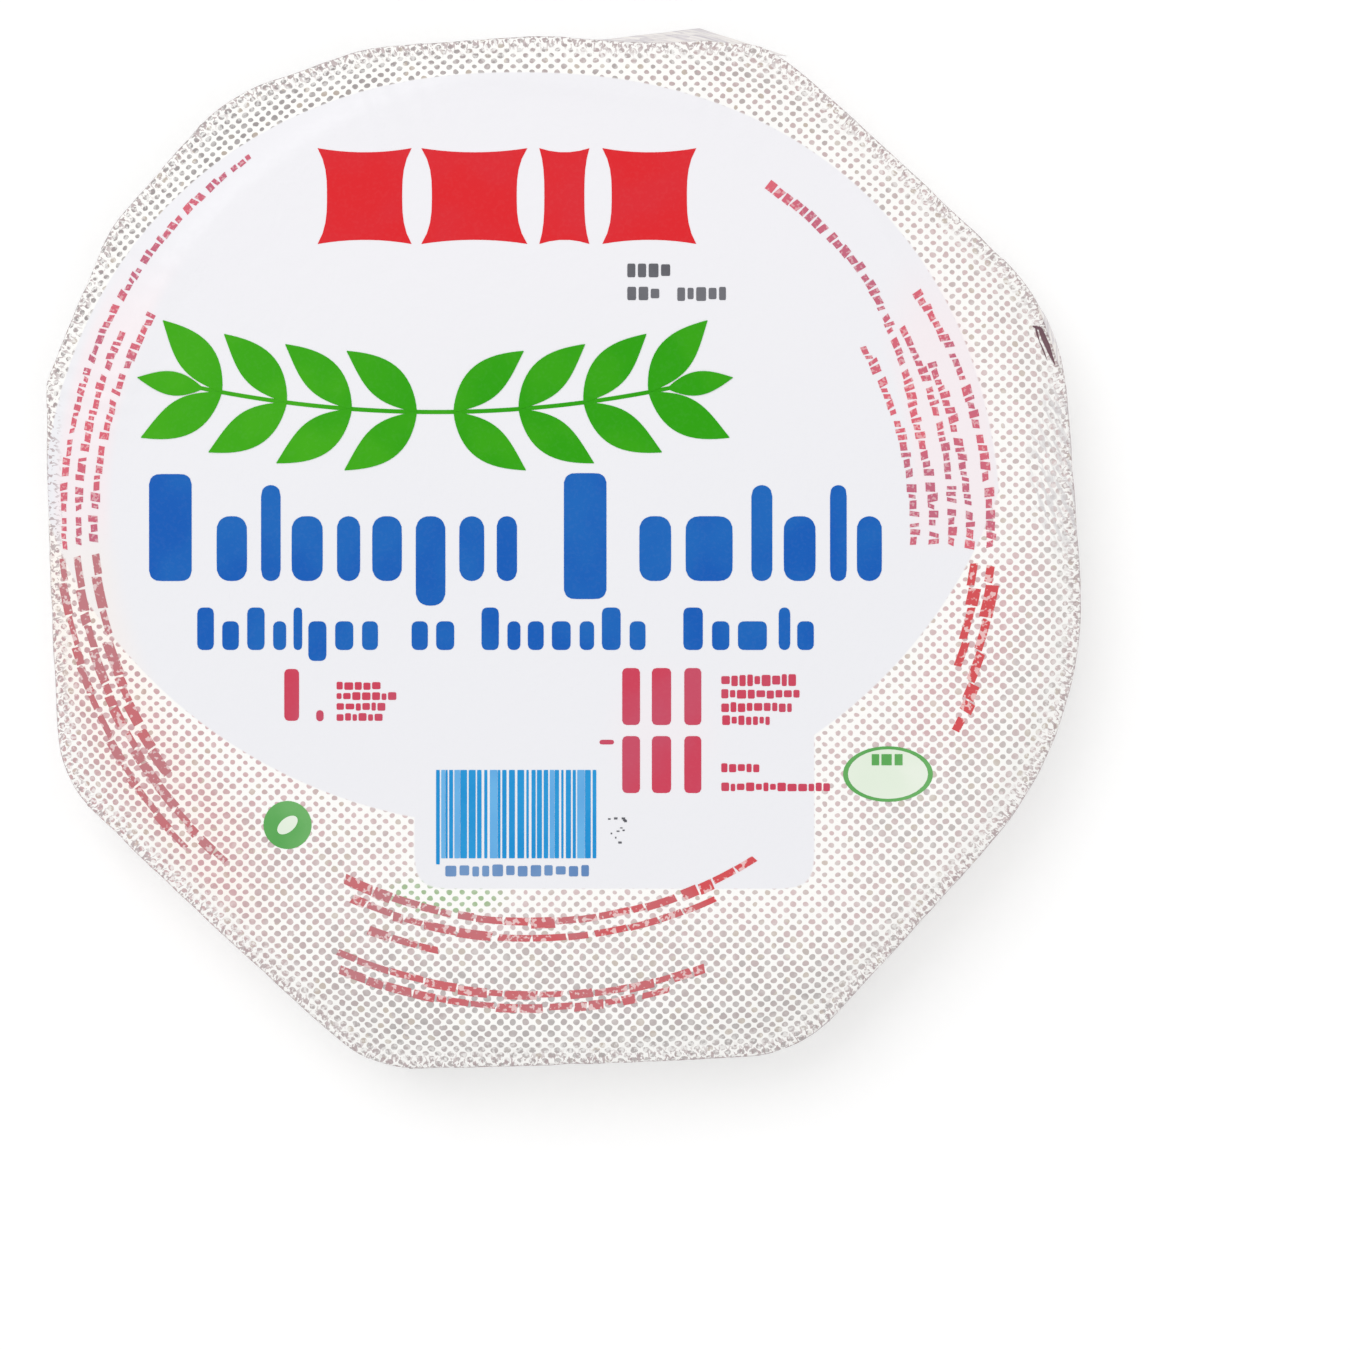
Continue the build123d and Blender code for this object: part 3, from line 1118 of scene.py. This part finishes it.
def buildHeadSlabs():
    bm = bmesh.new()
    middle, half = (headSlabs["top"] + headSlabs["bottom"]) / 2, (headSlabs["top"] - headSlabs["bottom"]) / 2
    for left, right in headSlabs["slabs"]:
        centre, halfWidth = (left + right) / 2, (right - left) / 2

        def place(s, t):
            pinch = 1 - headSlabs["waist"] * (1 - abs(t) ** 3)
            sag = headSlabs["sag"] * (1 - s * s) * abs(t) ** 2
            return centre + s * halfWidth * pinch, middle + t * (half - sag)

        addMark(bm, cellsFor(right - left, 2 * half), place)
    return finishMarks("headSlabs", bm, makeInk("redInk", shade(224, 34, 41), shade(219, 46, 56), 0.4))


buildHeadSlabs()

sprig = {
    "middle": (-27.8, 29.8),
    "halfLength": 54.5,
    "rise": 6.0,           # how far the ends of the stem stand over its middle
    "steps": 4,
    "firstStep": 4.0,
    "spread": radians(40),
    "leafLength": 20.0,
    "leafWidth": 7.8,
    "leafBend": radians(14),
    "stemWidth": 0.9,
    "leafLift": 0.04,      # how far the leaves stand over the stem
    "forkLift": 0.015,     # and one of a pair over the other
    "lastStep": 0.42,      # the last pair stands this share of a leaf before the end
    "endLeaf": (0.72, 0.66),  # its shares of the others' length and width
    "endStart": 0.22,
    "endFacing": 0.6,
    "endLift": 0.06,
    "stemShare": 0.93,
}


def addLeaf(bm, base, angle, length, width, bend, lift):
    # a pointed oval whose midline bends a little
    def place(s, t):
        along = (s + 1) / 2
        lean = angle + bend * (along - 0.5)
        middle = base + polar(length * along, angle + bend * (along - 1) / 2)
        half = width / 2 * (0.02 + 0.98 * max(sin(pi * along ** 0.92), 0))
        return middle + polar(half * t, lean + pi / 2)

    addMark(bm, (16, 4), place, lift)


def stemPlace(side, distance):
    rise = sprig["rise"] * (distance / sprig["halfLength"]) ** 2
    return Vector(sprig["middle"]) + Vector((side * distance, rise))


def buildSprig():
    bm = bmesh.new()
    reach = sprig["halfLength"] - sprig["firstStep"] - sprig["leafLength"] * sprig["lastStep"]
    gap = reach / (sprig["steps"] - 1)
    over = ink["lift"] + sprig["leafLift"]
    for side in (-1, 1):
        for step in range(sprig["steps"]):
            distance = sprig["firstStep"] + gap * step
            base = stemPlace(side, distance)
            ahead = stemPlace(side, distance + 1) - base
            outward = atan2(ahead.y, ahead.x)
            for fork in (-1, 1):
                addLeaf(bm, base, outward + fork * sprig["spread"], sprig["leafLength"], sprig["leafWidth"],
                        -fork * sprig["leafBend"], over + sprig["forkLift"] * (fork + 1))
        end = stemPlace(side, sprig["halfLength"] - sprig["leafLength"] * sprig["endStart"])
        ahead = end - stemPlace(side, sprig["halfLength"] * sprig["endFacing"])
        longShare, wideShare = sprig["endLeaf"]
        addLeaf(bm, end, atan2(ahead.y, ahead.x), sprig["leafLength"] * longShare,
                sprig["leafWidth"] * wideShare, 0, over + sprig["endLift"])

    def stem(s, t):
        distance = abs(s) * sprig["halfLength"] * sprig["stemShare"]
        return stemPlace(1 if s > 0 else -1, distance) + Vector((0, t * sprig["stemWidth"] / 2))

    addMark(bm, (60, 1), stem)
    green = makeInk("greenInk", shade(44, 160, 0), shade(66, 172, 14), across=(-92, 10))
    return finishMarks("leafSprig", bm, green)


buildSprig()

blueLines = {
    # each line: its bottom and top, then words of (left side, block widths, taller blocks, lower blocks)
    "large": (-6.7, 7.3, 1.2, (
        (-75.0, (8.4, 5.4, 8.6, 6.4, 8.2, 8.2, 6.9, 5.6), (1,), (5,)),
        (16.3, (8.8, 13.0, 5.8, 8.8, 4.6, 6.9), (2, 4), ()))),
    "initials": ((-89.6, -80.4, -6.7, 16.4), (0.0, 9.2, -10.6, 16.6)),
    "small": (-21.6, -15.4, 0.8, (
        (-79.2, (4.6, 4.6, 4.8, 3.6, 2.4, 5.0, 5.0, 4.4), (0, 2, 4), (5,)),
        (-32.9, (4.5, 5.0), (), ()),
        (-17.8, (4.8, 3.6, 4.4, 5.2, 4.0, 5.2, 4.4), (0, 5), ()),
        (25.8, (5.4, 4.8, 8.0, 3.2, 4.6), (0, 3), ()))),
    "rise": 0.48,
    "fall": 0.38,
    "narrow": 0.78,    # each block's share of its place
    "rounding": 0.2,   # of the corners, as a share of the line's height
    "initialRounding": 2.2,
}


def buildBlueLines():
    bm = bmesh.new()
    for bottom, top, gap, words in (blueLines["large"], blueLines["small"]):
        height = top - bottom
        for left, widths, taller, lower in words:
            for number, width in enumerate(widths):
                rise = blueLines["rise"] * height * (number in taller)
                fall = blueLines["fall"] * height * (number in lower)
                right = left + width * blueLines["narrow"]
                addBlock(bm, left, right, bottom - fall, top + rise, height * blueLines["rounding"])
                left += width + gap
    for left, right, bottom, top in blueLines["initials"]:
        addBlock(bm, left, right, bottom, top, blueLines["initialRounding"])
    blue = makeInk("blueInk", shade(28, 106, 188), shade(10, 88, 182), 0.5)
    return finishMarks("blueLines", bm, blue)


buildBlueLines()

smallPrint = {
    # tall narrow blocks: left, right, bottom, top
    "figures": ((-60.4, -56.4, -36.9, -25.7), (-53.5, -51.5, -37.0, -34.6),
                (12.6, 17.4, -37.8, -25.5), (19.0, 24.2, -37.8, -25.5), (26.0, 30.6, -37.8, -25.5),
                (12.6, 17.4, -52.5, -40.2), (19.0, 24.2, -52.5, -40.2), (26.0, 30.6, -52.5, -40.2),
                (7.7, 11.6, -42.0, -41.0)),
    # rows of little blocks: left, right, bottom, top
    "rows": ((-49.1, -39.5, -30.2, -28.4), (-49.1, -36.2, -32.4, -30.7), (-49.1, -38.4, -34.7, -32.9),
             (-49.1, -38.8, -36.9, -35.2), (34.0, 50.6, -29.4, -26.8), (34.0, 50.9, -32.1, -30.0),
             (34.0, 50.2, -35.0, -32.8), (34.2, 45.4, -37.8, -35.7), (34.0, 42.2, -48.0, -46.0),
             (34.0, 57.8, -52.1, -50.2)),
    "greyRows": ((13.7, 24.6, 58.9, 62.0), (13.7, 20.6, 53.8, 57.0), (24.5, 36.4, 53.8, 57.0)),
    "greyDots": ((9.4, 13.1), (-64.0, -58.0), 11),
    "narrow": 0.8,    # each figure's share of its place
}


def buildSmallPrint():
    chance = random.Random(ink["seed"])
    bm = bmesh.new()
    for left, right, bottom, top in smallPrint["figures"]:
        addBlock(bm, left, left + (right - left) * smallPrint["narrow"], bottom, top, 1.0, 6)
    for row in smallPrint["rows"]:
        addBlockRow(bm, chance, *row)
    finishMarks("crimsonPrint", bm, makeInk("crimsonInk", shade(206, 64, 88), shade(198, 84, 108), 0.4))
    bm = bmesh.new()
    for row in smallPrint["greyRows"]:
        addBlockRow(bm, chance, *row, widths=(1.3, 2.2), gap=0.55)
    (left, right), (bottom, top), count = smallPrint["greyDots"]
    for _ in range(count):
        x, y = chance.uniform(left, right), chance.uniform(bottom, top)
        addBlock(bm, x, x + chance.uniform(0.4, 0.9), y, y + chance.uniform(0.3, 0.6), 0.2, 1)
    return finishMarks("greyPrint", bm, makeInk("greyInk", shade(92, 92, 98), shade(120, 120, 126), 0.4))


buildSmallPrint()

stripes = {
    "left": -27.6,
    "right": 7.0,
    "bottom": -66.6,
    "top": -47.5,
    "firstExtra": 1.3,
    "widths": (0.45, 1.7),
    "gaps": (0.28, 0.62),
    "paleShare": 0.18,
    "paleGap": 0.06,
    "rounding": 0.08,
    "notes": ((-33.4, -32.2, -70.2, -67.8), (-25.6, 5.8, -70.5, -67.9)),
}


def buildStripes():
    chance = random.Random(ink["seed"] + 4)
    dark, pale = bmesh.new(), bmesh.new()
    left, extra = stripes["left"], stripes["firstExtra"]
    while left < stripes["right"] - stripes["widths"][0]:
        width = min(chance.uniform(*stripes["widths"]), stripes["right"] - left)
        chosen = pale if chance.random() < stripes["paleShare"] and not extra else dark
        bottom, top = stripes["bottom"] - extra, stripes["top"]
        addBlock(chosen, left, left + width, bottom, top, stripes["rounding"], 2)
        left += width + (stripes["paleGap"] if chosen is pale else chance.uniform(*stripes["gaps"]))
        extra = 0
    finishMarks("stripes", dark, makeInk("stripeInk", shade(20, 140, 208), shade(44, 156, 218), 0.4))
    finishMarks("paleStripes", pale,
                makeInk("paleStripeInk", shade(112, 186, 234), shade(96, 166, 224), 0.5))
    bm = bmesh.new()
    for note in stripes["notes"]:
        addBlockRow(bm, chance, *note, widths=(1.4, 2.4), gap=0.7)
    return finishMarks("stripeNotes", bm, makeInk("slateInk", shade(92, 130, 184), shade(120, 156, 200), 0.5))


buildStripes()

arcs = {
    "middle": (-7.5, 10.6),
    # each arc of small dashes on the label: radius, from, to (degrees), radius gained along it, height
    "onLabel": ((96.4, 129, 156, 3.0, 2.2), (99.6, 157, 185, 1.7, 1.9), (95.5, 157.4, 185, 2.5, 2.2),
                (91.0, 153.6, 185.5, 3.7, 2.3), (85.7, 53, 35, 1.8, 2.6), (87.5, 34, 14, -2.0, 2.5),
                (85.4, 13.4, -5.5, 2.6, 2.5), (79.8, 24.8, -5.5, 4.1, 2.4), (89.0, 25, -5.5, 3.0, 2.3),
                (92.1, 19, -5.5, 3.8, 2.4), (95.3, 28.4, 18.7, 1.9, 2.5), (97.2, 18.4, -5.5, 3.1, 2.4)),
    # each arc of long strokes over the dots
    "onDots": ((102.2, 187, 225.5, 3.8, 2.2), (98.7, 187, 229, 3.6, 2.5), (94.7, 187, 217, 3.7, 2.6),
               (97.5, -8, -20.4, 2.6, 3.0), (101.2, -8, -27.4, 4.0, 3.2), (90.8, 244, 300, 1.0, 2.7),
               (94.2, 246, 292, 1.0, 2.3), (106.0, 247, 290, 2.0, 2.3), (109.4, 248, 284, 0.6, 2.3),
               (99.2, 249.5, 258, 0.3, 2.4)),
    "dash": (0.7, 2.0),
    "stroke": (1.8, 7.5),
    "gap": 0.48,
    "wordGap": 1.5,
    "slim": 0.88,     # each dash's share of its height
    "word": (3, 9),
    "cell": 1.6,
    "wander": 0.15,   # how far a dash may lie off its arc
    "skew": 0.25,     # how far its two sides may slip along each other
    "sizes": (1.0, 0.92, 0.7, 0.62),
    "baseline": 0.3,  # the lower ones keep nearer to the arc's inside
}


def addDash(bm, radius, start, end, height, skew):
    middle = Vector(arcs["middle"])

    def place(s, t):
        angle = (start + end) / 2 + s * (end - start) / 2
        return middle + polar(radius + t * height / 2, angle + skew * t)

    addMark(bm, (max(1, ceil(abs(end - start) * radius / arcs["cell"])), 1), place)


def addDashArc(bm, chance, arc, lengths):
    radius, start, end, gain, height = arc
    step = 1 if end > start else -1
    start, end = radians(start), radians(end)
    angle, left = start, chance.randint(*arcs["word"])
    while (end - angle) * step > 0:
        length = chance.uniform(*lengths) / radius
        here = radius + gain * (angle - start) / (end - start)
        here += chance.uniform(-arcs["wander"], arcs["wander"])
        size = height * arcs["slim"] * chance.choice(arcs["sizes"])
        skew = chance.uniform(-arcs["skew"], arcs["skew"]) / radius
        here += (size - height) * arcs["baseline"]
        addDash(bm, here, angle, angle + step * length, size, skew)
        left -= 1
        angle += step * (length + (arcs["gap"] if left else arcs["wordGap"]) / radius)
        left = left or chance.randint(*arcs["word"])


def buildArcs():
    chance = random.Random(ink["seed"] + 2)
    bm = bmesh.new()
    for arc in arcs["onLabel"]:
        addDashArc(bm, chance, arc, arcs["dash"])
    finishMarks("labelDashes", bm,
                makeInk("roseInk", shade(225, 104, 118), shade(182, 106, 132), 0.40, wear=0.28))
    bm = bmesh.new()
    for arc in arcs["onDots"]:
        addDashArc(bm, chance, arc, arcs["stroke"])
    return finishMarks("borderDashes", bm, makeInk("paleRoseInk", shade(213, 82, 87), shade(194, 124, 130),
                                             across=(-60, 60), wear=0.5, fleckScale=0.8))


buildArcs()

greenMarks = {
    "discMiddle": (-59.7, -59.4),
    "discRadius": 5.2,
    "eye": (2.6, 1.5, radians(40)),   # half length, half width and tilt of the pale oval in the disc
    "ovalMiddle": (70.0, -48.4),
    "ovalHalf": (9.7, 6.0),
    "ovalLine": 0.65,
    "dabs": ((-2.7, 1.6), (-0.3, 2.2), (2.3, 1.7)),   # small blocks in the oval: place along it, width
    "dabLevel": 3.1,
    "dabHeight": 2.4,
}


def buildGreenMarks():
    bm = bmesh.new()
    middle = Vector(greenMarks["discMiddle"])
    addMark(bm, (10, 10), lambda s, t: middle + Vector(toDisc(s, t)) * greenMarks["discRadius"])
    oval, half = Vector(greenMarks["ovalMiddle"]), greenMarks["ovalHalf"]

    def ring(s, t):
        out = 1 - (1 - t) / 2 * greenMarks["ovalLine"] / half[1]
        edge = polar(out, pi * s)
        return oval + Vector((edge.x * half[0], edge.y * half[1]))

    addMark(bm, (48, 1), ring)

    def dab(s, t):
        up = greenMarks["dabLevel"] + t * greenMarks["dabHeight"] / 2
        return oval + Vector((aside + s * width / 2, up))

    for aside, width in greenMarks["dabs"]:
        addMark(bm, (2, 2), dab, ink["lift"] * 2)
    finishMarks("greenMarks", bm, makeInk("softGreenInk", shade(88, 166, 84), shade(120, 184, 112), 0.4))
    bm = bmesh.new()
    length, width, tilt = greenMarks["eye"]

    def eye(s, t):
        x, y = toDisc(s, t)
        return middle + polar(x * length, tilt) + polar(y * width, tilt + pi / 2)

    addMark(bm, (6, 6), eye, ink["lift"] * 2)
    inner = 1 - greenMarks["ovalLine"] / half[1]

    def fill(s, t):
        x, y = toDisc(s, t)
        return oval + Vector((x * half[0] * inner, y * half[1] * inner))

    addMark(bm, (8, 6), fill)
    return finishMarks("paleGreenMarks", bm,
                       makeInk("paleGreenInk", shade(226, 238, 220), shade(238, 243, 232), 0.4))


buildGreenMarks()

# The slit where a corner fold gapes
slit = {
    # each dark sliver: from, to, half width, where it is widest (1 in the middle, less nearer the start)
    "shadows": (((101.5, 48.7), (104.0, 47.9), 0.34, 1.0), ((103.1, 48.7), (106.5, 40.3), 0.60, 0.62),
                ((102.2, 48.4), (103.1, 45.4), 0.24, 0.8), ((102.9, 45.8), (104.8, 41.2), 0.14, 1.0)),
    "lip": ((102.9, 53.4), (107.6, 39.6), 0.68, 1.0),
    "bow": 0.7,        # how far the lip stands outwards in its middle
    "lipLift": 0.5,
    "lipDepth": 0.7,
    "stagger": 0.02,   # each sliver lies this much over the one before
}


def addSliver(bm, start, end, half, belly, bow, lift):
    start, end = Vector(start), Vector(end)
    along = end - start
    aside = Vector((-along.y, along.x)).normalized()

    def place(s, t):
        share = (s + 1) / 2
        width = half * (0.04 + 0.96 * max(sin(pi * share ** belly), 0) ** 0.7)
        return start + along * share + aside * (width * t + bow * sin(pi * share))

    addMark(bm, (14, 3), place, lift)


def buildSlit():
    bm = bmesh.new()
    for number, shadow in enumerate(slit["shadows"]):
        addSliver(bm, *shadow, 0.0, ink["lift"] + slit["stagger"] * number)
    finishMarks("slitShadow", bm, makeInk("slitShade", shade(104, 74, 84), shade(132, 104, 110), 0.4))
    bm = bmesh.new()
    addSliver(bm, *slit["lip"], slit["bow"], slit["lipLift"])
    writeSheet(bm, lambda spot: spot.yxz)  # so that the film's lines of painted shade run along the lip
    return finishMarks("slitLip", bm, looseFilm, slit["lipDepth"])


buildSlit()
print("print and folds made")

# The scene round it
stage = {
    "floorSize": 6.0,
    "lens": 85.0,
    "sensor": 36.0,
    "cameraHeight": 688.0,      # over the face, in mm
    "cameraAside": (24.0, -27.0),
    "worldLight": 0.845,
    "keyPower": 50.0,
    "keyPlace": (-1.6, 2.2, 4.2),
    "keySize": 3.0,
    "floorGlow": 0.16,          # so that the floor is seen white, without more light on the wheel
}


def makeFloor():
    bm = bmesh.new()
    bmesh.ops.create_grid(bm, x_segments=1, y_segments=1, size=stage["floorSize"] / 2)
    mesh = bpy.data.meshes.new("floor")
    bm.to_mesh(mesh)
    bm.free()
    material, tree, shader = newMaterial("whiteFloor")
    shader.inputs["Base Color"].default_value = shade(243, 243, 243)
    shader.inputs["Roughness"].default_value = 1.0
    shader.inputs["Specular IOR Level"].default_value = 0.0
    shader.inputs["Emission Color"].default_value = (1, 1, 1, 1)
    glow = calc(tree, "MULTIPLY", seenDirectly(tree), stage["floorGlow"])
    feed(tree, shader.inputs["Emission Strength"], glow)
    mesh.materials.append(material)
    floor = bpy.data.objects.new("floor", mesh)
    floor.location = (0, 0, low[2])
    bpy.context.scene.collection.objects.link(floor)


def makeWorld():
    world = bpy.data.worlds.new("studio")
    world.use_nodes = True
    tree = world.node_tree
    tree.nodes.clear()
    background = addNode(tree, "ShaderNodeBackground")
    strength = mixNumber(tree, seenDirectly(tree), stage["worldLight"], 1.0)
    feed(tree, background.inputs["Strength"], strength)
    background.inputs["Color"].default_value = (1, 1, 1, 1)
    output = addNode(tree, "ShaderNodeOutputWorld")
    tree.links.new(background.outputs[0], output.inputs["Surface"])
    bpy.context.scene.world = world


def makeKeyLight():
    light = bpy.data.lights.new("keyLight", "AREA")
    light.energy = stage["keyPower"]
    light.size = stage["keySize"]
    lamp = bpy.data.objects.new("keyLight", light)
    lamp.location = stage["keyPlace"]
    lamp.rotation_euler = Vector(stage["keyPlace"]).to_track_quat("Z", "Y").to_euler()
    bpy.context.scene.collection.objects.link(lamp)


def makeCamera():
    camera = bpy.data.cameras.new("camera")
    camera.lens = stage["lens"]
    camera.sensor_width = stage["sensor"]
    viewer = bpy.data.objects.new("camera", camera)
    aside = (cheeseMiddle + Vector(stage["cameraAside"])) * mm
    viewer.location = (*aside, high[2] + stage["cameraHeight"] * mm)
    bpy.context.scene.collection.objects.link(viewer)
    bpy.context.scene.camera = viewer


makeFloor()
makeWorld()
makeKeyLight()
makeCamera()
bpy.context.scene.view_settings.view_transform = "Standard"
print("stage set")
